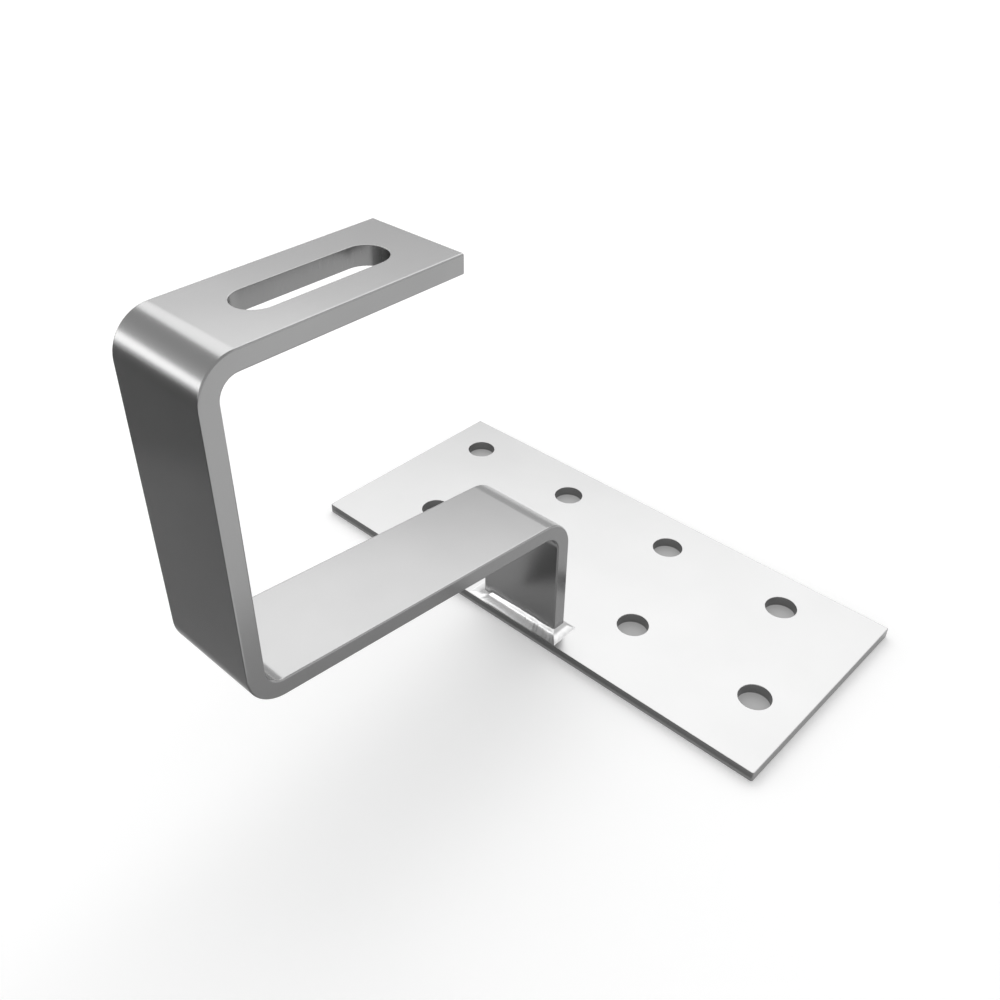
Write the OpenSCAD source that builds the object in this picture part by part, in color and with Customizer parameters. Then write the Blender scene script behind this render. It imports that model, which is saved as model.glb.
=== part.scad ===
// Roof hook for a tiled roof: a flat bar bent three times and welded upright
// to a plate that is screwed to the rafter. The far end of the bar has a slot
// for the bolt that carries a mounting rail.
//
// Frame, in millimetres: the origin is the centre of the plate's underside,
// +Z is up, +X runs along the plate, and the hook reaches out towards -Y.

/* [Base plate] */
// Length of the plate, along X
plate_length = 180; // [140:1:240]
// Width of the plate, along Y
plate_width = 80; // [64:1:120]
// Thickness of the plate
plate_thickness = 3.5; // [2:0.1:8]
// Radius of the plate's four corners, seen from above
plate_corner_r = 0.6; // [0.6:0.1:10]
// Radius of the broken edges along the plate's rim
plate_edge_r = 0.25; // [0.1:0.05:0.5]

/* [Screw holes] */
// Diameter of the screw holes
hole_d = 10; // [5:0.5:12]
// Number of holes in each of the two rows
holes_per_row = 4; // [2:1:5]
// Plate end to the centre of the hole next to it
hole_end_margin = 15; // [10:1:24]
// Step along X between the two rows, so that the holes are staggered
row_stagger = 15; // [0:1:20]
// Far edge of the plate to the centres of the far row
far_row_margin = 15; // [10:1:20]
// Near edge of the plate to the centres of the near row
near_row_margin = 25; // [20:1:30]

/* [Flat bar] */
// Width of the bar
bar_width = 30; // [20:1:50]
// Thickness of the bar
bar_thickness = 5; // [3:0.5:8]
// Radius of the bar's long rolled edges
bar_edge_r = 0.5; // [0.2:0.1:1.2]

/* [Bends] */
// Plate top to the top of the lower arm, where it leaves the leg
leg_h = 45; // [30:1:70]
// Rise of the lower arm towards the riser, in degrees
lower_arm_rise = 5.4; // [0:0.1:12]
// Back of the leg to the front of the riser
reach = 113.5; // [90:0.5:160]
// Plate top to the top of the upper arm
hook_h = 140.5; // [115:0.5:200]
// Front of the riser to the tip of the upper arm
upper_arm_length = 70; // [64:1:120]
// Inner radius of the bend between the leg and the lower arm
leg_bend_r = 6.5; // [4:0.5:12]
// Inner radius of the bend between the lower arm and the riser
low_bend_r = 5.5; // [4:0.5:12]
// Inner radius of the bend between the riser and the upper arm
top_bend_r = 5; // [4:0.5:8]

/* [Rail slot] */
// Width of the slot for the rail bolt
slot_width = 11; // [6:0.5:16]
// Length of the slot, from end to end
slot_length = 40; // [20:1:42]
// Tip of the upper arm to the near end of the slot
slot_tip_margin = 10; // [6:0.5:14]

/* [Weld] */
// Leg length of the fillet weld, on the plate and on the bar
weld_leg = 3; // [1.5:0.1:5]
// Depth of the weld's hollow face below the straight line from toe to toe
weld_hollow = 0.3; // [0.1:0.05:0.5]
// Bare strip of plate between the weld and the plate's near edge
toe_margin = 0.5; // [0.5:0.1:4]

/* [Hidden] */
$fn = 96;
// How far a cutting shape runs past the faces that it cuts
cut_past = 1;
// How far a straight of the bar runs on into the bend beside it, far too little to measure
bend_lap = 0.00000001;

// Screw holes: the rows start at opposite ends of the plate
hole_pitch = (plate_length - 2 * hole_end_margin - row_stagger) / (holes_per_row - 1);
far_row_x = -plate_length / 2 + hole_end_margin;
far_row_y = plate_width / 2 - far_row_margin;
near_row_x = far_row_x + row_stagger;
near_row_y = -plate_width / 2 + near_row_margin;

// Faces and centre of the leg, which stands behind the weld's front run
leg_front_y = -plate_width / 2 + toe_margin + weld_leg;
leg_back_y = leg_front_y + bar_thickness;
leg_mid_y = (leg_front_y + leg_back_y) / 2;

// Corners of the bar's centre line in Y and Z, as if its bends were sharp
riser_mid_y = leg_back_y - reach + bar_thickness / 2;
upper_mid_z = plate_thickness + hook_h - bar_thickness / 2;
tip_y = leg_back_y - reach + upper_arm_length;
function lower_mid_z(y) =
    plate_thickness + leg_h + (leg_back_y - y) * tan(lower_arm_rise)
    - bar_thickness / 2 / cos(lower_arm_rise);

// Turn of each bend, and how much each takes from the straights beside it
low_turn = 90 - lower_arm_rise;
top_turn = 90;
function mid_r(inner_r) = inner_r + bar_thickness / 2;
function setback(turn, inner_r) = mid_r(inner_r) * tan(turn / 2);
leg_setback = setback(low_turn, leg_bend_r);
low_setback = setback(low_turn, low_bend_r);
top_setback = setback(top_turn, top_bend_r);

// Lengths of the four straights between the bends
leg_straight = lower_mid_z(leg_mid_y) - plate_thickness - leg_setback;
lower_straight = (leg_mid_y - riser_mid_y) / cos(lower_arm_rise) - leg_setback - low_setback;
riser_straight = upper_mid_z - lower_mid_z(riser_mid_y) - low_setback - top_setback;
upper_straight = tip_y - riser_mid_y - top_setback;

// The bar as a bender reads it: straight length, turn in degrees, inner radius.
// A positive turn goes towards the bar's own +Y side, a negative one away.
bar_steps = [
    [leg_straight, -low_turn, leg_bend_r],
    [lower_straight, low_turn, low_bend_r],
    [riser_straight, top_turn, top_bend_r],
    [upper_straight, 0, 0]
];

// Middle of the slot, along Y
slot_mid_y = tip_y - slot_tip_margin - slot_length / 2;

// Radius of the circle that hollows the weld's face, from its chord and depth
weld_chord = weld_leg * sqrt(2);
weld_face_r = (pow(weld_chord / 2, 2) + pow(weld_hollow, 2)) / (2 * weld_hollow);
// The circle's centre lies outside, this far from the bar's face and from the plate
weld_face_mid = weld_leg / 2 + (weld_face_r - weld_hollow) / sqrt(2);

// Rectangle with rounded corners, centred on the origin
module rounded_rect(size, r) {
    square([size.x - 2 * r, size.y], center = true);
    square([size.x, size.y - 2 * r], center = true);
    for (x = [-1, 1], y = [-1, 1])
        translate([x * (size.x / 2 - r), y * (size.y / 2 - r)])
            circle(r);
}

// Obround with its length along Y
module obround(width, length) {
    square([width, length - width], center = true);
    for (y = [-1, 1])
        translate([0, y * (length - width) / 2])
            circle(d = width);
}

// Section of the plate's rim, its outer edge at x = plate_corner_r
module rim_section() {
    intersection() {
        translate([0, plate_thickness / 2])
            rounded_rect([2 * plate_corner_r, plate_thickness], plate_edge_r);
        square([plate_corner_r, plate_thickness]);
    }
}

// Plate with rounded corners and broken edges, before its holes
module plate_blank() {
    half_l = plate_length / 2 - plate_corner_r;
    half_w = plate_width / 2 - plate_corner_r;
    translate([-half_l, -half_w, 0])
        cube([2 * half_l, 2 * half_w, plate_thickness]);
    for (end = [0, 1])
        rotate([0, 0, 180 * end]) {
            translate([half_l, half_w, 0])
                rotate([90, 0, 0])
                    linear_extrude(2 * half_w) rim_section();
            translate([-half_l, half_w, 0])
                rotate([90, 0, 90])
                    linear_extrude(2 * half_l) rim_section();
            translate([half_l, half_w, 0])
                rotate_extrude(angle = 90) rim_section();
            translate([-half_l, half_w, 0])
                rotate([0, 0, 90])
                    rotate_extrude(angle = 90) rim_section();
        }
}

// One row of screw holes from a first centre, at the common pitch
module hole_row(first_x, y) {
    for (i = [0 : holes_per_row - 1])
        translate([first_x + i * hole_pitch, y, -cut_past])
            cylinder(d = hole_d, h = plate_thickness + 2 * cut_past);
}

module base_plate() {
    color([0.90, 0.90, 0.90])
        difference() {
            plate_blank();
            hole_row(far_row_x, far_row_y);
            hole_row(near_row_x, near_row_y);
        }
}

// Section of the rolled flat bar, its thickness along Y
module bar_section() {
    rounded_rect([bar_width, bar_thickness], bar_edge_r);
}

// One bend that starts at the origin with the bar running up along +Z
module bend(turn, inner_r) {
    side = sign(turn);
    translate([0, side * mid_r(inner_r), 0])
        rotate([90, 0, -90 * side])
            rotate_extrude(angle = abs(turn))
                translate([mid_r(inner_r), 0])
                    rotate(90)
                        bar_section();
}

// Moves its children from the start of a bend to its end
module past_bend(turn, inner_r) {
    side = sign(turn);
    translate([0, side * mid_r(inner_r), 0])
        rotate([-turn, 0, 0])
            translate([0, -side * mid_r(inner_r), 0])
                children();
}

// The bar from step i on: a straight, its bend, then the rest of the bar
module bent_bar(i = 0) {
    length = bar_steps[i][0];
    turn = bar_steps[i][1];
    inner_r = bar_steps[i][2];
    bend_ahead = i < len(bar_steps) - 1;
    lap_behind = i > 0 ? bend_lap : 0;
    lap_ahead = bend_ahead ? bend_lap : 0;
    translate([0, 0, -lap_behind])
        linear_extrude(lap_behind + length + lap_ahead) bar_section();
    if (bend_ahead)
        translate([0, 0, length]) {
            bend(turn, inner_r);
            past_bend(turn, inner_r)
                bent_bar(i + 1);
        }
}

module hook_bar() {
    color([0.62, 0.62, 0.63])
        difference() {
            translate([0, leg_mid_y, plate_thickness])
                bent_bar();
            translate([0, slot_mid_y, upper_mid_z - bar_thickness / 2 - cut_past])
                linear_extrude(bar_thickness + 2 * cut_past)
                    obround(slot_width, slot_length);
        }
}

// Section through the bar's foot with the weld on both sides, y up from the plate
module foot_section(bar_across) {
    difference() {
        translate([-bar_across / 2 - weld_leg, 0])
            square([bar_across + 2 * weld_leg, weld_leg]);
        for (side = [-1, 1])
            translate([side * (bar_across / 2 + weld_face_mid), weld_face_mid])
                circle(weld_face_r);
    }
}

// The four runs of weld meet in mitres at the corners of the foot
module weld_bead() {
    color([0.95, 0.95, 0.95])
        translate([0, leg_mid_y, plate_thickness])
            difference() {
                intersection() {
                    rotate([90, 0, 0])
                        linear_extrude(bar_thickness + 2 * weld_leg, center = true)
                            foot_section(bar_width);
                    rotate([90, 0, 90])
                        linear_extrude(bar_width + 2 * weld_leg, center = true)
                            foot_section(bar_thickness);
                }
                translate([0, 0, -cut_past])
                    linear_extrude(weld_leg + 2 * cut_past) bar_section();
            }
}

base_plate();
hook_bar();
weld_bead();
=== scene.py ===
# %% [markdown]
# # A welded roof hook for a solar rail
# A roof hook is screwed to a rafter under the tiles. Its bent bar reaches out between two tiles and
# holds the rail for the solar panels. The real one is three pieces of stainless steel: a punched plate,
# a flat bar bent three times, and the weld that joins them for good.
#
# This script loads a CAD model of the hook at its true size and remakes its three pieces with Geometry
# Nodes. The CAD model has the exact sizes. The remade pieces add what the eye looks for: edges that
# catch the light, a grain in the steel and a real weld.

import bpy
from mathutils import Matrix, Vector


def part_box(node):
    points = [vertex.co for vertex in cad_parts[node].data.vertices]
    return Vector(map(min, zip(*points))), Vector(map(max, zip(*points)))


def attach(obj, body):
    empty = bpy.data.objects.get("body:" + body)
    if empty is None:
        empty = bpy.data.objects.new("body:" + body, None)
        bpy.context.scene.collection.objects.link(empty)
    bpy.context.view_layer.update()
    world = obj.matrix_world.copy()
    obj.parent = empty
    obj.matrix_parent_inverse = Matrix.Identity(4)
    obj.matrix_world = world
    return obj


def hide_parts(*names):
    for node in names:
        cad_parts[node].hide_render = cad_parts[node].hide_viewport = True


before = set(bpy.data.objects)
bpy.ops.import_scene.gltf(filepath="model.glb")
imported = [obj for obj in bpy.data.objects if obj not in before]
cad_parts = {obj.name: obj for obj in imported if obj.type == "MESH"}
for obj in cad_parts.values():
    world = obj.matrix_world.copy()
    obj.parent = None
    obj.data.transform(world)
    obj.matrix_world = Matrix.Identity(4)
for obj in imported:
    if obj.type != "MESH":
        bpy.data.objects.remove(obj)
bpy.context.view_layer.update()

# %% [markdown]
# ## Sizes in millimetres
# Blender works in metres here, and a maker's drawing is in millimetres, so one factor turns one into the
# other. The origin is the centre of the plate's underside, Z is up, X runs along the plate, and the hook
# reaches out towards -Y. The values repeat those of the CAD model, and each piece prints how far its box
# is from the CAD one, so a slip would show at once.

# %% Units, and the places where the pieces meet
import math

import bpy
from mathutils import Vector

MM = 0.001

plate_size = Vector((180, 80, 3.5))
plate_top = plate_size.z
bar_width, bar_thickness = 30, 5
leg_back_y = -31.5
leg_mid_y = leg_back_y - bar_thickness / 2
print("The leg stands on the plate at y =", leg_mid_y, "mm")

# %% [markdown]
# ## Two small helpers
# Every tree below, for shapes and for materials, is built from code, so that each number has a name.
# One function adds a node with its options and its inputs. An input is given either a plain value or
# another node, whose first output is then linked to it. Colours are written as sRGB hex, as on a screen,
# but Blender computes with linear light, so a second function turns one into the other.

# %% Add a node, and read a colour


def add(tree, kind, settings=None, links=None):
    """Adds a node. Settings are its options, and links give each input a value, a node or a socket."""
    node = tree.nodes.new(kind)
    for name, value in (settings or {}).items():
        setattr(node, name, value)
    for name, source in (links or {}).items():
        if isinstance(source, bpy.types.Node):
            source = source.outputs[0]
        if isinstance(source, bpy.types.NodeSocket):
            tree.links.new(source, node.inputs[name])
        else:
            node.inputs[name].default_value = source
    return node


def linear(hex_colour):
    """Linear RGBA of an sRGB colour, written as six hex digits."""
    channels = [int(hex_colour[i : i + 2], 16) / 255 for i in (0, 2, 4)]
    curve = [c / 12.92 if c <= 0.04045 else ((c + 0.055) / 1.055) ** 2.4 for c in channels]
    return (*curve, 1.0)


print("Mid grey 808080 in linear light:", [round(c, 3) for c in linear("808080")[:3]])

# %% [markdown]
# ## The steel
# Stainless steel has no paint or coating: what the eye sees is the room, blurred by a very fine grain.
# So the material is fully metallic, and its colour is the share of light that the metal gives back.
# Three things keep it from looking like plastic. Its colour drifts a little from place to place, its
# grain runs the way that it was rolled, and the same grain makes its gloss uneven.
#
# A rolling grain is only some hundredths of a millimetre wide, too fine for the picture, so it is drawn
# about ten times as coarse and very faint. One function makes all three finishes, because they are one
# metal that was worked in three ways. The pattern reads Object coordinates, which are the model's own
# millimetres, so it keeps its scale on every piece.

# %% A bare metal with a grain
# The colour drifts over about this distance.
CLOUD_MM = 25


def steel(name, colour, dark, roughness, spread, grain_mm, stretch, relief_mm):
    """A bare metal. stretch draws the grain out along each axis, and spread makes its gloss uneven."""
    material = bpy.data.materials.new(name)
    material.use_nodes = True
    tree = material.node_tree
    tree.nodes.clear()
    place = add(tree, "ShaderNodeTexCoord").outputs["Object"]
    clouds = add(tree, "ShaderNodeTexNoise", {}, {"Vector": place, "Scale": 1 / (CLOUD_MM * MM), "Detail": 3.0})
    squeezed = add(tree, "ShaderNodeMapping", {}, {"Vector": place, "Scale": [1 / s for s in stretch]})
    fineness = 1 / (grain_mm * MM)
    grain = add(tree, "ShaderNodeTexNoise", {}, {"Vector": squeezed, "Scale": fineness, "Detail": 2.0})
    tint = add(tree, "ShaderNodeMix", {"data_type": "RGBA"}, {0: clouds, 6: linear(dark), 7: linear(colour)})
    gloss = add(
        tree,
        "ShaderNodeMapRange",
        {},
        {
            "Value": grain,
            "From Min": 0.3,
            "From Max": 0.7,
            "To Min": roughness - spread,
            "To Max": roughness + spread,
        },
    )
    relief = add(tree, "ShaderNodeBump", {}, {"Height": grain, "Distance": relief_mm * MM, "Strength": 1.0})
    shader = add(
        tree,
        "ShaderNodeBsdfPrincipled",
        {},
        {"Base Color": tint.outputs[2], "Metallic": 1.0, "Roughness": gloss, "Normal": relief},
    )
    add(tree, "ShaderNodeOutputMaterial", {}, {"Surface": shader})
    return material


# Stainless sheet, cold rolled and pickled: a smooth satin with its grain along the plate.
sheet_steel = steel(
    "cold_rolled_stainless_sheet",
    colour="B5B5B5",
    dark="AFAFAF",
    roughness=0.30,
    spread=0.003,
    grain_mm=0.5,
    stretch=(15, 1, 1),
    relief_mm=0.0005,
)
# Stainless flat bar, hot rolled and pickled: a little darker and glossier, with its grain along the bar.
bar_steel = steel(
    "hot_rolled_stainless_flat",
    colour="A2A2A2",
    dark="999999",
    roughness=0.23,
    spread=0.003,
    grain_mm=0.4,
    stretch=(1, 15, 15),
    relief_mm=0.0005,
)
# Stainless weld metal, cast by its own melting and brushed bright: whiter than both, with soft lumps.
weld_steel = steel(
    "stainless_weld_metal",
    colour="DADADA",
    dark="CECECE",
    roughness=0.34,
    spread=0.04,
    grain_mm=1.2,
    stretch=(1, 1, 1),
    relief_mm=0.03,
)
# A cut or punched edge of either, torn rather than rolled, with marks that run up and down. It is darker partly
# because a torn edge is, and partly as painted shade on the walls.
cut_steel = steel(
    "sheared_stainless_edge",
    colour="929292",
    dark="888888",
    roughness=0.30,
    spread=0.03,
    grain_mm=0.4,
    stretch=(1, 1, 8),
    relief_mm=0.003,
)
for finish in (sheet_steel, bar_steel, weld_steel, cut_steel):
    print("Finish:", finish.name, "with", len(finish.node_tree.nodes), "nodes")

# %% [markdown]
# ## From a geometry tree to a plain mesh
# A Geometry Nodes tree is a recipe with named inputs. It is hung on an object as a modifier, its inputs
# are set, and the result is turned into a plain mesh. The recipe then comes off, because the finished
# piece has to be a mesh that any program can read.
#
# Every tree ends in the same way. Faces are shaded smooth apart from the edges that are truly sharp,
# Realize Instances turns copies into real faces, and Set Material names the finish. After the tree, a
# Bevel modifier may break the sharp edges, as tumbling or a file does on the real piece. Its loop slide
# is off, because it would drag the short steps of a small corner across each other. Weighted normals
# then keep the flats flat in the light.

# %% Start, end and bake a tree
# Edges that turn by more than this stay sharp in the light, and those that turn a bit more are broken.
SHARP_ANGLE, BROKEN_ANGLE = math.radians(35), math.radians(40)
# A broken edge is an arc of so many steps.
BROKEN_STEPS = 3


def start_tree(name, sizes):
    """A new geometry tree. sizes names its inputs and gives each one's kind."""
    tree = bpy.data.node_groups.new(name, "GeometryNodeTree")
    tree.interface.new_socket("Geometry", in_out="INPUT", socket_type="NodeSocketGeometry")
    tree.interface.new_socket("Geometry", in_out="OUTPUT", socket_type="NodeSocketGeometry")
    for label, value in sizes.items():
        kind = {int: "NodeSocketInt", float: "NodeSocketFloat", Vector: "NodeSocketVector"}[type(value)]
        tree.interface.new_socket(label, in_out="INPUT", socket_type=kind)
    return tree, add(tree, "NodeGroupInput").outputs


def end_tree(tree, geometry, material, cut_faces=None):
    """Smooth shading up to the sharp angle, real faces, and a material, with the darker cut-edge steel, partly
    painted shade, on cut faces.
    """
    smooth = add(tree, "GeometryNodeSetShadeSmooth", {}, {"Geometry": geometry})
    angle = add(tree, "GeometryNodeInputMeshEdgeAngle")
    sharp = add(tree, "FunctionNodeCompare", {}, {0: angle, 1: SHARP_ANGLE})
    creased = add(
        tree,
        "GeometryNodeSetShadeSmooth",
        {"domain": "EDGE"},
        {"Geometry": smooth, "Selection": sharp, "Shade Smooth": False},
    )
    real = add(tree, "GeometryNodeRealizeInstances", {}, {"Geometry": creased})
    painted = add(tree, "GeometryNodeSetMaterial", {}, {"Geometry": real, "Material": material})
    if cut_faces:
        cut = {"Geometry": painted, "Selection": cut_faces, "Material": cut_steel}
        painted = add(tree, "GeometryNodeSetMaterial", {}, cut)
    add(tree, "NodeGroupOutput", {}, {0: painted})


def bake(name, tree, sizes, edge=0.0):
    """The tree's result as a plain mesh object, with its sharp edges broken by edge, in metres."""
    piece = bpy.data.objects.new(name, bpy.data.meshes.new(name))
    bpy.context.scene.collection.objects.link(piece)
    recipe = piece.modifiers.new("recipe", "NODES")
    recipe.node_group = tree
    for item in tree.interface.items_tree:
        if item.name in sizes:
            recipe[item.identifier] = sizes[item.name]
    if edge:
        bevel = piece.modifiers.new("edge", "BEVEL")
        bevel.width, bevel.segments = edge, BROKEN_STEPS
        bevel.limit_method, bevel.angle_limit = "ANGLE", BROKEN_ANGLE
        bevel.use_clamp_overlap, bevel.loop_slide = False, False
        piece.modifiers.new("normals", "WEIGHTED_NORMAL")
    finished = piece.evaluated_get(bpy.context.evaluated_depsgraph_get())
    mesh = bpy.data.meshes.new_from_object(finished)
    piece.modifiers.clear()
    piece.data = mesh
    mesh.name = name
    print(name, "has", len(mesh.polygons), "faces")
    return piece


def hand_over(piece, node):
    """Lets a finished piece stand for its CAD node, and prints how far their boxes differ, in mm."""
    low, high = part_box(node)
    points = [vertex.co for vertex in piece.data.vertices]
    made_low = Vector([min(point[i] for point in points) for i in range(3)])
    made_high = Vector([max(point[i] for point in points) for i in range(3)])
    gaps = [round((a - b) / MM, 3) for a, b in zip((*made_low, *made_high), (*low, *high))]
    print(piece.name, "minus CAD box:", gaps)
    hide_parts(node)
    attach(piece, "root")


print("Edges that turn by more than", round(math.degrees(BROKEN_ANGLE)), "degrees are broken")

# %% [markdown]
# ## Shapes that return
# Plate, bar and slot are all one idea: a rectangle with rounded corners, carried along a path. Two
# functions draw that. A third picks the walls of a flat thing, which are the faces that look sideways,
# and a fourth draws a free curve, for a shape that no formula gives.

# %% Rectangles, sweeps, walls and curves
# Steps to a small corner, to a bend or a slot's end, and round a whole hole. More would not be seen.
CORNER_STEPS, BEND_STEPS, HOLE_STEPS = 6, 24, 96


def rounded_rectangle(tree, width, height, radius, steps):
    """A rectangle round the origin whose corners are arcs of so many steps."""
    box = add(tree, "GeometryNodeCurvePrimitiveQuadrilateral", {}, {"Width": width, "Height": height})
    return add(tree, "GeometryNodeFilletCurve", {"mode": "POLY"}, {"Curve": box, "Count": steps, "Radius": radius})


def sweep(tree, path, profile):
    """A closed solid: the profile carried along the path, with its width kept along X."""
    path = add(tree, "GeometryNodeSetCurveNormal", {"mode": "FREE"}, {"Curve": path, "Normal": (1, 0, 0)})
    return add(tree, "GeometryNodeCurveToMesh", {}, {"Curve": path, "Profile Curve": profile, "Fill Caps": True})


def sideways(tree):
    """Picks the faces that look sideways, whose normals have little height."""
    normal = add(tree, "ShaderNodeSeparateXYZ", {}, {"Vector": add(tree, "GeometryNodeInputNormal")})
    lean = add(tree, "ShaderNodeMath", {"operation": "ABSOLUTE"}, {0: normal.outputs["Z"]})
    return add(tree, "ShaderNodeMath", {"operation": "LESS_THAN"}, {0: lean, 1: 0.5})


def drawn_curve(tree, value, points):
    """A curve drawn through the given points, from the first at 0 to the last at 1."""
    curve = add(tree, "ShaderNodeFloatCurve", {}, {"Value": value})
    shape = curve.mapping.curves[0]
    shape.points[0].location, shape.points[1].location = points[0], points[-1]
    for point in points[1:-1]:
        shape.points.new(*point)
    curve.mapping.update()
    return curve


print("A bend has", BEND_STEPS, "steps and a small corner has", CORNER_STEPS)

# %% [markdown]
# ## The plate
# The plate spreads the load over the rafter. It is cut from sheet, and its eight screw holes are punched
# in two rows that start from opposite ends, so that no two screws split the same line of wood.
#
# It could be drawn hole by hole. But holes in a row are one hole and a rule, so the tree makes one
# cutter, stands it on a line of points at the common pitch, and takes the whole row from the blank at
# once. Change the count or the pitch, and the row follows.

# %% Plate sizes
hole_diameter = 10
holes_per_row = 4
hole_pitch = 45
far_row_start = Vector((-75, 25, 0))
near_row_start = Vector((-60, -15, 0))
plate_values = {
    "Length": plate_size.x * MM,
    "Width": plate_size.y * MM,
    "Thickness": plate_size.z * MM,
    "Corner radius": 0.6 * MM,
    "Hole diameter": hole_diameter * MM,
    "Holes per row": holes_per_row,
    "Hole step": Vector((hole_pitch * MM, 0, 0)),
    "Far row start": far_row_start * MM,
    "Near row start": near_row_start * MM,
}
print("Screw holes in x:", [far_row_start.x + i * hole_pitch for i in range(holes_per_row)])

# %% Plate tree
tree, sizes = start_tree("punched_plate", plate_values)
rim = rounded_rectangle(tree, sizes["Length"], sizes["Width"], sizes["Corner radius"], CORNER_STEPS)
top_at = add(tree, "ShaderNodeCombineXYZ", {}, {"Z": sizes["Thickness"]})
up = add(tree, "GeometryNodeCurvePrimitiveLine", {}, {"Start": (0, 0, 0), "End": top_at})
plate = sweep(tree, up, rim)
# The cutter is three times as tall as the plate, so that it runs out of both faces.
tall = add(tree, "ShaderNodeMath", {"operation": "MULTIPLY"}, {0: sizes["Thickness"], 1: 3.0})
radius = add(tree, "ShaderNodeMath", {"operation": "MULTIPLY"}, {0: sizes["Hole diameter"], 1: 0.5})
cutter = add(tree, "GeometryNodeMeshCylinder", {}, {"Vertices": HOLE_STEPS, "Radius": radius, "Depth": tall})
for start in ("Far row start", "Near row start"):
    line = add(
        tree,
        "GeometryNodeMeshLine",
        {},
        {"Count": sizes["Holes per row"], "Start Location": sizes[start], "Offset": sizes["Hole step"]},
    )
    row = add(tree, "GeometryNodeInstanceOnPoints", {}, {"Points": line, "Instance": cutter})
    row = add(tree, "GeometryNodeRealizeInstances", {}, {"Geometry": row})
    plate = add(
        tree,
        "GeometryNodeMeshBoolean",
        {"operation": "DIFFERENCE", "solver": "EXACT"},
        {"Mesh 1": plate, "Mesh 2": row},
    )
# Every wall of the plate is a cut one, and gets the darker cut-edge steel, which is partly painted shade.
end_tree(tree, plate, sheet_steel, sideways(tree))

# %% Bake the plate
# Punching rolls the rim of a hole over a little, and tumbling breaks the outer edges, by about 0.25 mm.
plate_piece = bake("punched_plate", tree, plate_values, edge=0.25 * MM)
hand_over(plate_piece, "base_plate")

# %% [markdown]
# ## The bar
# The hook itself is one flat bar. It is slotted while it is still flat and then bent three times: away
# from the leg, up into the riser, and back over into the upper arm that holds the rail.
#
# A bar like this is a section that follows a path, which is just what Curve to Mesh does. The path is
# five corners, as on a bender's drawing. Fillet Curve rounds the three in the middle to the radius of
# the bar's centre line, which is the bender's inner radius plus half the thickness. The section is a
# rectangle whose rolled edges are slightly round, and the slot is cut out at the end.

# %% Bar sizes
lower_arm_rise = math.radians(5.4)
reach, leg_height, hook_height, upper_arm_length = 113.5, 45, 140.5, 70
inner_radii = {"Leg bend": 6.5, "Low bend": 5.5, "Top bend": 5}
slot_width, slot_length, slot_tip_margin = 11, 40, 10

riser_mid_y = leg_back_y - reach + bar_thickness / 2
upper_mid_z = plate_top + hook_height - bar_thickness / 2
tip_y = leg_back_y - reach + upper_arm_length


def lower_mid_z(y):
    """Height of the lower arm's centre line, which rises towards the riser."""
    top = plate_top + leg_height + (leg_back_y - y) * math.tan(lower_arm_rise)
    return top - bar_thickness / 2 / math.cos(lower_arm_rise)


bar_values = {
    "Foot": Vector((0, leg_mid_y, plate_top)) * MM,
    "Leg corner": Vector((0, leg_mid_y, lower_mid_z(leg_mid_y))) * MM,
    "Low corner": Vector((0, riser_mid_y, lower_mid_z(riser_mid_y))) * MM,
    "Top corner": Vector((0, riser_mid_y, upper_mid_z)) * MM,
    "Tip": Vector((0, tip_y, upper_mid_z)) * MM,
    "Width": bar_width * MM,
    "Thickness": bar_thickness * MM,
    "Edge radius": 0.5 * MM,
    "Slot middle": Vector((0, tip_y - slot_tip_margin - slot_length / 2, upper_mid_z)) * MM,
    "Slot width": slot_width * MM,
    "Slot length": slot_length * MM,
}
for bend, inner_radius in inner_radii.items():
    bar_values[bend] = (inner_radius + bar_thickness / 2) * MM
print("The riser's centre line is at y =", riser_mid_y, "mm and the tip at y =", tip_y, "mm")

# %% Bar tree: the path
tree, sizes = start_tree("bent_flat_bar", bar_values)
index = add(tree, "GeometryNodeInputIndex")
corner = add(tree, "GeometryNodeIndexSwitch", {"data_type": "VECTOR"}, {"Index": index})
bend_radius = add(tree, "GeometryNodeIndexSwitch", {"data_type": "FLOAT"}, {"Index": index})
corner_names = ["Foot", "Leg corner", "Low corner", "Top corner", "Tip"]
bend_names = [None, "Leg bend", "Low bend", "Top bend", None]
for i, (corner_name, bend_name) in enumerate(zip(corner_names, bend_names)):
    for switch in (corner, bend_radius):
        if i > 1:
            switch.index_switch_items.new()
    tree.links.new(sizes[corner_name], corner.inputs[i + 1])
    if bend_name:
        tree.links.new(sizes[bend_name], bend_radius.inputs[i + 1])
path = add(tree, "GeometryNodeMeshLine", {}, {"Count": len(corner_names)})
path = add(tree, "GeometryNodeSetPosition", {}, {"Geometry": path, "Position": corner})
path = add(tree, "GeometryNodeMeshToCurve", {}, {"Mesh": path})
bends = {"Curve": path, "Count": BEND_STEPS, "Radius": bend_radius}
path = add(tree, "GeometryNodeFilletCurve", {"mode": "POLY"}, bends)

# %% Bar tree: the section and the slot
section = rounded_rectangle(tree, sizes["Width"], sizes["Thickness"], sizes["Edge radius"], CORNER_STEPS)
bar = sweep(tree, path, section)
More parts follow.
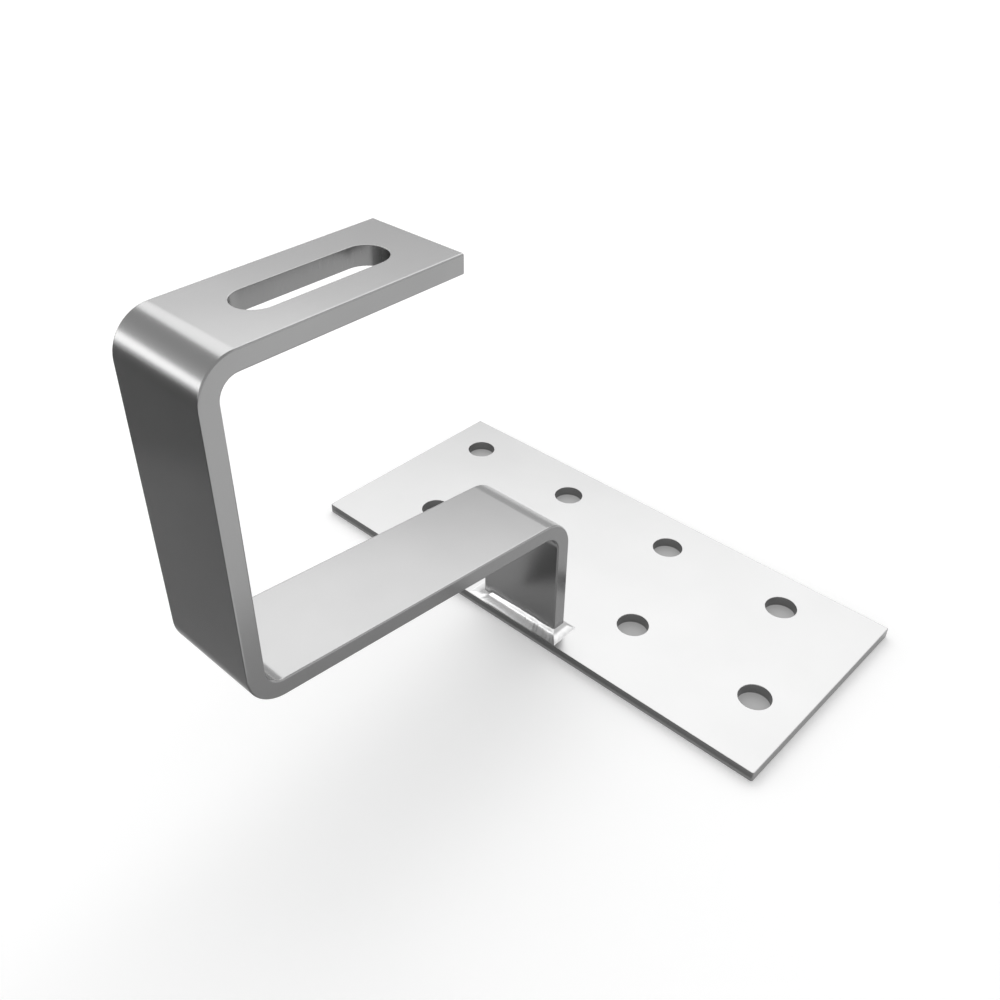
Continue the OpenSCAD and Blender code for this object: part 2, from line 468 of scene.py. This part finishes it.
# The slot's ends are half circles, short of the full radius by a hair so that their arcs don't touch.
half_width = add(tree, "ShaderNodeMath", {"operation": "MULTIPLY"}, {0: sizes["Slot width"], 1: 0.4999})
slot = rounded_rectangle(tree, sizes["Slot width"], sizes["Slot length"], half_width, BEND_STEPS)
ends = []
for side in (-1.5, 1.5):
    reach_z = add(tree, "ShaderNodeMath", {"operation": "MULTIPLY"}, {0: sizes["Thickness"], 1: side})
    ends.append(add(tree, "ShaderNodeCombineXYZ", {}, {"Z": reach_z}))
through = add(tree, "GeometryNodeCurvePrimitiveLine", {}, {"Start": ends[0], "End": ends[1]})
cutter = sweep(tree, through, slot)
cutter = add(tree, "GeometryNodeTransform", {}, {"Geometry": cutter, "Translation": sizes["Slot middle"]})
slotted = add(
    tree,
    "GeometryNodeMeshBoolean",
    {"operation": "DIFFERENCE", "solver": "EXACT"},
    {"Mesh 1": bar, "Mesh 2": cutter},
)
# The slot's walls are the sideways faces in a box round it, a little wider than the slot. They get the darker
# cut-edge steel, which is partly painted shade.
off_middle = add(
    tree,
    "ShaderNodeVectorMath",
    {"operation": "SUBTRACT"},
    {0: add(tree, "GeometryNodeInputPosition"), 1: sizes["Slot middle"]},
)
off_middle = add(tree, "ShaderNodeVectorMath", {"operation": "ABSOLUTE"}, {0: off_middle})
slot_size = {"X": sizes["Slot width"], "Y": sizes["Slot length"], "Z": sizes["Thickness"]}
box = add(tree, "ShaderNodeCombineXYZ", {}, slot_size)
box = add(tree, "ShaderNodeVectorMath", {"operation": "SCALE"}, {0: box, "Scale": 0.51})
in_box = add(
    tree,
    "FunctionNodeCompare",
    {"data_type": "VECTOR", "operation": "LESS_THAN"},
    {4: off_middle, 5: box},
)
walls = add(tree, "FunctionNodeBooleanMath", {"operation": "AND"}, {0: in_box, 1: sideways(tree)})
end_tree(tree, slotted, bar_steel, walls)

# %% Bake the bar
# A shear and a punch leave edges that are broken by a file, by about 0.2 mm.
bar_piece = bake("bent_flat_bar", tree, bar_values, edge=0.2 * MM)
hand_over(bar_piece, "hook_bar")

# %% [markdown]
# ## The weld
# A fillet weld runs all round the bar's foot. Its metal was liquid for a second or two: it froze in small
# ripples as the torch moved on, it stands highest against the bar, and it sinks in a hollow curve to
# meet the plate. Its foot wanders a little, as the hand did.
#
# A weld follows a path too, so it is a section swept round the foot. Here the section has to grow wider
# round a corner, as two runs that meet in a mitre do. So the sweep only makes the faces, and Set Position
# then puts each point at its own distance from the bar and height over the plate. A Float Curve draws
# the section, so its shape can be changed by hand.

# %% Weld sizes
foot_half = Vector((bar_width / 2, bar_thickness / 2, 1))
weld_values = {
    "Foot middle": Vector((0, leg_mid_y, plate_top)) * MM,
    "Foot half size": foot_half * MM,
    "Right and back leg": Vector((3.1, 3.0, 0)) * MM,
    "Left and front leg": Vector((4.8, 3.35, 0)) * MM,
    "Height": 2.7 * MM,
    "Ripples": 58.0,
    "Ripple height": 0.008 * MM,
    "Wander": 0.35 * MM,
    "Sink": 0.1 * MM,
}
foot_length = 4 * (foot_half.x + foot_half.y)
print("Weld ripples are", round(foot_length / weld_values["Ripples"], 2), "mm apart")

# %% Weld tree: the sweep
tree, sizes = start_tree("rippled_fillet_weld", weld_values)
face_points, cuts_per_side, lump_mm = 25, 150, 5
foot = add(tree, "ShaderNodeSeparateXYZ", {}, {"Vector": sizes["Foot half size"]})
twice = [add(tree, "ShaderNodeMath", {"operation": "MULTIPLY"}, {0: foot.outputs[i], 1: 2.0}) for i in range(2)]
outline = add(tree, "GeometryNodeCurvePrimitiveQuadrilateral", {}, {"Width": twice[0], "Height": twice[1]})
outline = add(tree, "GeometryNodeSubdivideCurve", {}, {"Curve": outline, "Cuts": cuts_per_side})
outline = add(
    tree,
    "GeometryNodeStoreNamedAttribute",
    {"data_type": "FLOAT_VECTOR"},
    {"Geometry": outline, "Name": "outline", "Value": add(tree, "GeometryNodeInputPosition")},
)
outline = add(
    tree,
    "GeometryNodeStoreNamedAttribute",
    {"data_type": "FLOAT"},
    {"Geometry": outline, "Name": "along", "Value": add(tree, "GeometryNodeSplineParameter").outputs["Factor"]},
)
index = add(tree, "GeometryNodeInputIndex")
across = add(tree, "ShaderNodeMath", {"operation": "DIVIDE"}, {0: index, 1: face_points - 1.0})
profile = add(tree, "GeometryNodeCurvePrimitiveLine", {}, {"Start": (0, 0, 0), "End": (MM, 0, 0)})
profile = add(tree, "GeometryNodeResampleCurve", {}, {"Curve": profile, "Count": face_points + 1})
profile = add(tree, "GeometryNodeSetSplineCyclic", {}, {"Geometry": profile, "Cyclic": True})
profile = add(
    tree,
    "GeometryNodeStoreNamedAttribute",
    {"data_type": "FLOAT"},
    {"Geometry": profile, "Name": "across", "Value": across},
)
faces = add(tree, "GeometryNodeCurveToMesh", {}, {"Curve": outline, "Profile Curve": profile})

# %% Weld tree: the section
start = add(tree, "GeometryNodeInputNamedAttribute", {"data_type": "FLOAT_VECTOR"}, {"Name": "outline"})
along = add(tree, "GeometryNodeInputNamedAttribute", {"data_type": "FLOAT"}, {"Name": "along"})
across = add(tree, "GeometryNodeInputNamedAttribute", {"data_type": "FLOAT"}, {"Name": "across"})
# Points of the face run from 0 at the bar to 1 at the toe. The one past 1 is the hidden inner corner.
face = add(tree, "ShaderNodeMath", {"operation": "LESS_THAN"}, {0: across, 1: 1.01})
section = drawn_curve(tree, across, [(0, 1), (0.13, 0.76), (0.27, 0.50), (0.62, 0.19), (1, 0)])
# The ridge starts low in a small pit at the left corner and grows towards the right.
across_foot = add(tree, "ShaderNodeSeparateXYZ", {}, {"Vector": start})
right_edge = foot.outputs["X"]
left_edge = add(tree, "ShaderNodeMath", {"operation": "MULTIPLY"}, {0: right_edge, 1: -1.0})
to_right = {"Value": across_foot.outputs["X"], "From Min": left_edge, "From Max": right_edge}
from_left = add(tree, "ShaderNodeMapRange", {}, to_right)
ridge = drawn_curve(tree, from_left, [(0, 0.5), (0.06, 0.5), (0.13, 0.82), (1, 1)])
ridge = add(tree, "ShaderNodeMath", {"operation": "MULTIPLY"}, {0: ridge, 1: sizes["Height"]})

# %% Weld tree: the ripples and the hand's wander
lumps = add(tree, "ShaderNodeTexNoise", {}, {"Vector": start, "Scale": 1 / (lump_mm * MM), "Detail": 3.0})
lumps = add(tree, "ShaderNodeMath", {"operation": "SUBTRACT"}, {0: lumps, 1: 0.5})
lumps = add(tree, "ShaderNodeMath", {"operation": "MULTIPLY"}, {0: lumps, 1: sizes["Wander"]})
# Ripples are arcs: they lag behind towards both edges of the face, and fade out there.
middle = add(tree, "ShaderNodeMath", {"operation": "SUBTRACT"}, {0: across, 1: 0.5})
bow = add(tree, "ShaderNodeMath", {"operation": "MULTIPLY"}, {0: middle, 1: middle})
turns = add(tree, "ShaderNodeMath", {"operation": "MULTIPLY_ADD"}, {0: along, 1: sizes["Ripples"], 2: bow})
turns = add(tree, "ShaderNodeMath", {"operation": "MULTIPLY"}, {0: turns, 1: 2 * math.pi})
wave = add(tree, "ShaderNodeMath", {"operation": "SINE"}, {0: turns})
fade = add(tree, "ShaderNodeMath", {"operation": "MULTIPLY_ADD"}, {0: bow, 1: -4.0, 2: 1.0})
wave = add(tree, "ShaderNodeMath", {"operation": "MULTIPLY"}, {0: wave, 1: fade})
wave = add(tree, "ShaderNodeMath", {"operation": "MULTIPLY"}, {0: wave, 1: sizes["Ripple height"]})
relief = add(tree, "ShaderNodeMath", {"operation": "ADD"}, {0: wave, 1: lumps})

# %% Weld tree: each point's height
height = add(tree, "ShaderNodeMath", {"operation": "ADD"}, {0: ridge, 1: sizes["Sink"]})
# The ridge wanders more than the toe, because the hand feels the plate but not the top of the pool.
height = add(tree, "ShaderNodeMath", {"operation": "MULTIPLY_ADD"}, {0: lumps, 1: 2.5, 2: height})
height = add(tree, "ShaderNodeMath", {"operation": "MULTIPLY_ADD"}, {0: section, 1: height, 2: wave})
height = add(tree, "ShaderNodeMath", {"operation": "MULTIPLY"}, {0: height, 1: face})
height = add(tree, "ShaderNodeMath", {"operation": "SUBTRACT"}, {0: height, 1: sizes["Sink"]})
raised = add(tree, "ShaderNodeCombineXYZ", {}, {"Z": height})

# %% Weld tree: each point's distance from the bar
# The sign of a place on the outline says which side it is on: 1 for right and back, 0 for left and front.
side = add(tree, "ShaderNodeVectorMath", {"operation": "SIGN"}, {0: start})
half = (0.5, 0.5, 0.5)
side = add(tree, "ShaderNodeVectorMath", {"operation": "MULTIPLY_ADD"}, {0: side, 1: half, 2: half})
legs = add(
    tree,
    "ShaderNodeMix",
    {"data_type": "VECTOR", "factor_mode": "NON_UNIFORM"},
    {1: side, 4: sizes["Left and front leg"], 5: sizes["Right and back leg"]},
)
swell = add(tree, "ShaderNodeCombineXYZ", {}, {"X": relief, "Y": relief})
sink = add(tree, "ShaderNodeCombineXYZ", {}, {"X": sizes["Sink"], "Y": sizes["Sink"]})
growth = add(tree, "ShaderNodeVectorMath", {"operation": "ADD"}, {0: legs.outputs[1], 1: swell})
growth = add(tree, "ShaderNodeVectorMath", {"operation": "ADD"}, {0: growth, 1: sink})
out = add(tree, "ShaderNodeMath", {"operation": "MULTIPLY"}, {0: across, 1: face})
growth = add(tree, "ShaderNodeVectorMath", {"operation": "SCALE"}, {0: growth, "Scale": out})
growth = add(tree, "ShaderNodeVectorMath", {"operation": "SUBTRACT"}, {0: growth, 1: sink})
# The outline grows by that much on every side, so its corners stay sharp and meet in mitres.
growth = add(tree, "ShaderNodeVectorMath", {"operation": "DIVIDE"}, {0: growth, 1: sizes["Foot half size"]})
growth = add(tree, "ShaderNodeVectorMath", {"operation": "ADD"}, {0: growth, 1: (1.0, 1.0, 1.0)})
spot = add(tree, "ShaderNodeVectorMath", {"operation": "MULTIPLY"}, {0: start, 1: growth})
spot = add(tree, "ShaderNodeVectorMath", {"operation": "ADD"}, {0: spot, 1: raised})
spot = add(tree, "ShaderNodeVectorMath", {"operation": "ADD"}, {0: spot, 1: sizes["Foot middle"]})
bead = add(tree, "GeometryNodeSetPosition", {}, {"Geometry": faces, "Position": spot})
for name in ("outline", "along", "across"):
    bead = add(tree, "GeometryNodeRemoveAttribute", {}, {"Geometry": bead, "Name": name})
end_tree(tree, bead, weld_steel)

# %% Bake the weld
weld_piece = bake("rippled_fillet_weld", tree, weld_values)
hand_over(weld_piece, "weld_bead")

# %% [markdown]
# ## The floor and the air
# The hook lies on white paper in a white room. Paper lit like the hook comes out a light grey, so it
# also glows a little for the camera and for the metal that mirrors it, through Light Path. The glow lights
# nothing, so the hook's own light is unchanged and its shadow stays on the paper.
#
# The air is the room's light. It is a little brighter low down, where a studio has its white walls, than
# overhead. The bends mirror all heights of the room in turn, so this keeps their middles from going dark.

# %% Paper and cards


def matt_paper(name, colour, glow):
    """Matt paper that lights nothing, but glows for the camera and in metal and glass."""
    paper = bpy.data.materials.new(name)
    paper.use_nodes = True
    tree = paper.node_tree
    tree.nodes.clear()
    matt = add(tree, "ShaderNodeBsdfDiffuse", {}, {"Color": linear(colour)})
    ray = add(tree, "ShaderNodeLightPath").outputs
    seen = ray["Is Camera Ray"]
    for kind in ("Is Glossy Ray", "Is Transmission Ray"):
        seen = add(tree, "ShaderNodeMath", {"operation": "MAXIMUM"}, {0: seen, 1: ray[kind]})
    strength = add(tree, "ShaderNodeMath", {"operation": "MULTIPLY"}, {0: seen, 1: glow})
    light = add(tree, "ShaderNodeEmission", {}, {"Strength": strength})
    both = add(tree, "ShaderNodeAddShader", {}, {0: matt, 1: light})
    add(tree, "ShaderNodeOutputMaterial", {}, {"Surface": both})
    return paper


def card(name, corners, paper):
    """A flat sheet of paper that is no part of the hook. Its corners are in millimetres."""
    mesh = bpy.data.meshes.new(name)
    mesh.from_pydata([Vector(corner) * MM for corner in corners], [], [range(len(corners))])
    mesh.materials.append(paper)
    board = bpy.data.objects.new(name, mesh)
    bpy.context.scene.collection.objects.link(board)
    print(name, "has", len(corners), "corners")
    return board


def oblong(half_x, half_y, z):
    """Four corners round the origin."""
    return [(x * half_x, y * half_y, z) for x, y in ((-1, -1), (1, -1), (1, 1), (-1, 1))]


# %% Floor
# It lies a hair below the plate, so that the two never fight for the same place.
half_floor, floor_z = 6000, -0.02
paper_glow = 0.21
# Plain white paper from a roll, matt and uncoated.
white_paper = matt_paper("white_paper", "F2F2F2", paper_glow)
card("floor", oblong(half_floor, half_floor, floor_z), white_paper)
print("The floor is", 2 * half_floor * MM, "m wide and glows by", paper_glow)

# %% Air
air_strength, horizon_strength = 0.75, 1.0
band_ends = [math.sin(math.radians(height)) for height in (24, 34)]
world = bpy.data.worlds.new("studio_air")
bpy.context.scene.world = world
world.use_nodes = True
tree = world.node_tree
tree.nodes.clear()
up = add(tree, "ShaderNodeSeparateXYZ", {}, {"Vector": add(tree, "ShaderNodeTexCoord").outputs["Generated"]})
strength = add(
    tree,
    "ShaderNodeMapRange",
    {"interpolation_type": "SMOOTHSTEP"},
    {
        "Value": up.outputs["Z"],
        "From Min": band_ends[0],
        "From Max": band_ends[1],
        "To Min": horizon_strength,
        "To Max": air_strength,
    },
)
air = add(tree, "ShaderNodeBackground", {}, {"Strength": strength})
add(tree, "ShaderNodeOutputWorld", {}, {"Surface": air})
print("The air's strength is", air_strength, "and", horizon_strength, "near the horizon")

# %% [markdown]
# ## The lamps
# Metal has no shade of its own, only what it mirrors, so each lamp is placed by asking which face
# should see it. A large softbox behind the hook is what the plate and both arms mirror, so they are the
# palest faces. The upper arm sees only its lower edge, and so darkens towards the tip. A strip at the
# left draws the white line round the top bend, and a softbox at the right lights the slope of the weld.
#
# That softbox would also draw a hard white line along each edge of the bar. A photographer holds a flag
# between the two. Here light linking does the same: a lamp lights only the pieces that it names, and a
# weaker softbox in the same place fills in the bar's edges. A small strip near the weld, for the weld
# alone, draws the white line along its ridge.
#
# A lamp's power is worked out from how bright it should look. Radiance times pi times its area gives
# watts, so a lamp can grow softer without growing brighter.

# %% Softboxes


def aim(obj, place, target):
    """Puts a lamp or the camera at a place, looking at a target."""
    obj.location = place
    obj.rotation_mode = "QUATERNION"
    obj.rotation_quaternion = (Vector(target) - Vector(place)).to_track_quat("-Z", "Y")


def softbox(name, left, elevation, distance, width, height, radiance, target):
    """A rectangular lamp. left is in degrees from +Y towards -X, and the sizes are in metres."""
    a, e = math.radians(left), math.radians(elevation)
    towards = Vector((-math.sin(a) * math.cos(e), math.cos(a) * math.cos(e), math.sin(e)))
    data = bpy.data.lights.new(name, "AREA")
    data.shape = "RECTANGLE"
    data.size = width
    data.size_y = height
    data.energy = radiance * math.pi * width * height
    lamp = bpy.data.objects.new(name, data)
    bpy.context.scene.collection.objects.link(lamp)
    aim(lamp, Vector(target) + towards * distance, target)
    lamp.visible_camera = False
    print(name, "gives", round(data.energy, 2), "W")
    return lamp


softbox(
    "back_softbox",
    left=43,
    elevation=48.9,
    distance=2.2,
    width=2.8,
    height=1.54,
    radiance=1.68,
    target=(0, -0.04, 0.06),
)
softbox(
    "left_strip",
    left=128,
    elevation=10.5,
    distance=0.7,
    width=0.55,
    height=0.16,
    radiance=2.25,
    target=(0, -0.142, 0.138),
)


def light_only(lamp, name, pieces):
    """Keeps a lamp's light to some of the pieces."""
    lit = bpy.data.collections.new(name)
    for piece in pieces:
        lit.objects.link(piece)
    lamp.light_linking.receiver_collection = lit
    print(lamp.name, "lights only", [piece.name for piece in pieces])


weld_strip = softbox(
    "weld_strip",
    left=143,
    elevation=20,
    distance=0.13,
    width=0.10,
    height=0.035,
    radiance=3.2,
    target=(0, -0.038, 0.005),
)
light_only(weld_strip, "weld_only", [weld_piece])
right_place = {"left": -44, "elevation": 36, "distance": 2.2, "width": 1.6, "height": 1.2, "target": (0.03, 0, 0)}
right_softbox = softbox("right_softbox", radiance=1.2, **right_place)
light_only(right_softbox, "plate_and_weld", [plate_piece, weld_piece])
bar_softbox = softbox("bar_softbox", radiance=0.4, **right_place)
light_only(bar_softbox, "bar_only", [bar_piece])

# %% [markdown]
# ## The grey cards
# The fronts of the riser and the leg mirror the floor in front of them, which is white here, yet on the
# real hook they are its darkest faces. A photographer puts grey cards, called flags, where such a face
# looks. Two stand one above the other in front of the riser, and their upper edge is level with the top
# bend, so that the white line on the bend ends sharply. Two more lie on the floor below the hook, and a
# small dark one lies before the leg, whose upper corner is its darkest place. Only the metal sees them:
# they cast no shadow and don't hide the floor from the camera.
#
# One more card lies under the plate, and shows only through the screw holes.

# %% Flags
left, right, bend, far_end = (-230, -101), (40, -217), (-116, -150), (86, -150)
flag_middle, flag_top = 75, 136
on_floor = 1
near_plate_y = -plate_size.y / 2 - 0.3
before_plate = [(100, -130), (95, near_plate_y), (-95, near_plate_y)]
before_leg = [(-28, -96), (4, -96), (2, -66), (-10, -51), (-19, -66)]
flags = {
    "flag_upper": ([(*left, flag_middle), (*right, flag_middle), (*right, flag_top), (*left, flag_top)], "848484"),
    "flag_lower": ([(*left, on_floor), (*right, on_floor), (*right, flag_middle), (*left, flag_middle)], "9A9A9A"),
    "flag_on_floor_far": ([(*spot, on_floor) for spot in (bend, right, far_end)], "A0A0A0"),
    "flag_on_floor_near": ([(*spot, on_floor) for spot in (left, bend, far_end, *before_plate)], "D2D2D2"),
    "flag_before_leg": ([(*spot, on_floor + 0.2) for spot in before_leg], "6A6A6A"),
}
for name, (corners, colour) in flags.items():
    # Grey card, matt and uncoated, with no glow of its own.
    flag = card(name, corners, matt_paper("grey_card_" + colour, colour, 0.0))
    for kind in ("camera", "shadow", "diffuse", "transmission"):
        setattr(flag, "visible_" + kind, False)

# %% Card under the plate
# It ends 1 mm inside the plate's edge, halfway between the plate and the floor.
grey_card = matt_paper("grey_card", "989898", 0.2)
card("card_under_plate", oblong(plate_size.x / 2 - 1, plate_size.y / 2 - 1, floor_z / 2), grey_card)

# %% [markdown]
# ## The camera
# The camera was solved from the photograph: its edges, corners and hole rims, set against the sizes of
# the model, leave one viewpoint. It looks down at the hook from the front right, from very near, which
# is why the plate narrows so much. The picture's centre isn't quite on the lens axis, so the lens is
# shifted a little.

# %% Camera
AZIMUTH, ELEVATION = math.radians(43.663), math.radians(35.664)
DISTANCE = 337.9 * MM
TARGET = Vector((-22.431, -30.63, 40)) * MM
FOCAL_PIXELS, PICTURE_PIXELS = 1059.293, 1000
# Where the lens axis meets the picture, in pixels from its left and from its top.
AXIS_X, AXIS_Y = 480.571, 486.655
level = math.cos(ELEVATION)
back = Vector((math.sin(AZIMUTH) * level, -math.cos(AZIMUTH) * level, math.sin(ELEVATION)))
lens = bpy.data.cameras.new("camera")
camera = bpy.data.objects.new("camera", lens)
bpy.context.scene.collection.objects.link(camera)
bpy.context.scene.camera = camera
lens.sensor_width = 36
lens.lens = FOCAL_PIXELS * lens.sensor_width / PICTURE_PIXELS
lens.shift_x = (PICTURE_PIXELS / 2 - AXIS_X) / PICTURE_PIXELS
lens.shift_y = (AXIS_Y - PICTURE_PIXELS / 2) / PICTURE_PIXELS
lens.clip_start, lens.clip_end = 0.01, 50
aim(camera, TARGET + back * DISTANCE, TARGET)
print("Focal length:", round(lens.lens, 2), "mm")

# %% [markdown]
# ## Finish
# Colours are shown as they are, with no film look. Each piece has printed how far its box is from the CAD one,
# because Blender must not change the hook's size.

# %% Show colours as they are
bpy.context.scene.view_settings.view_transform = "Standard"
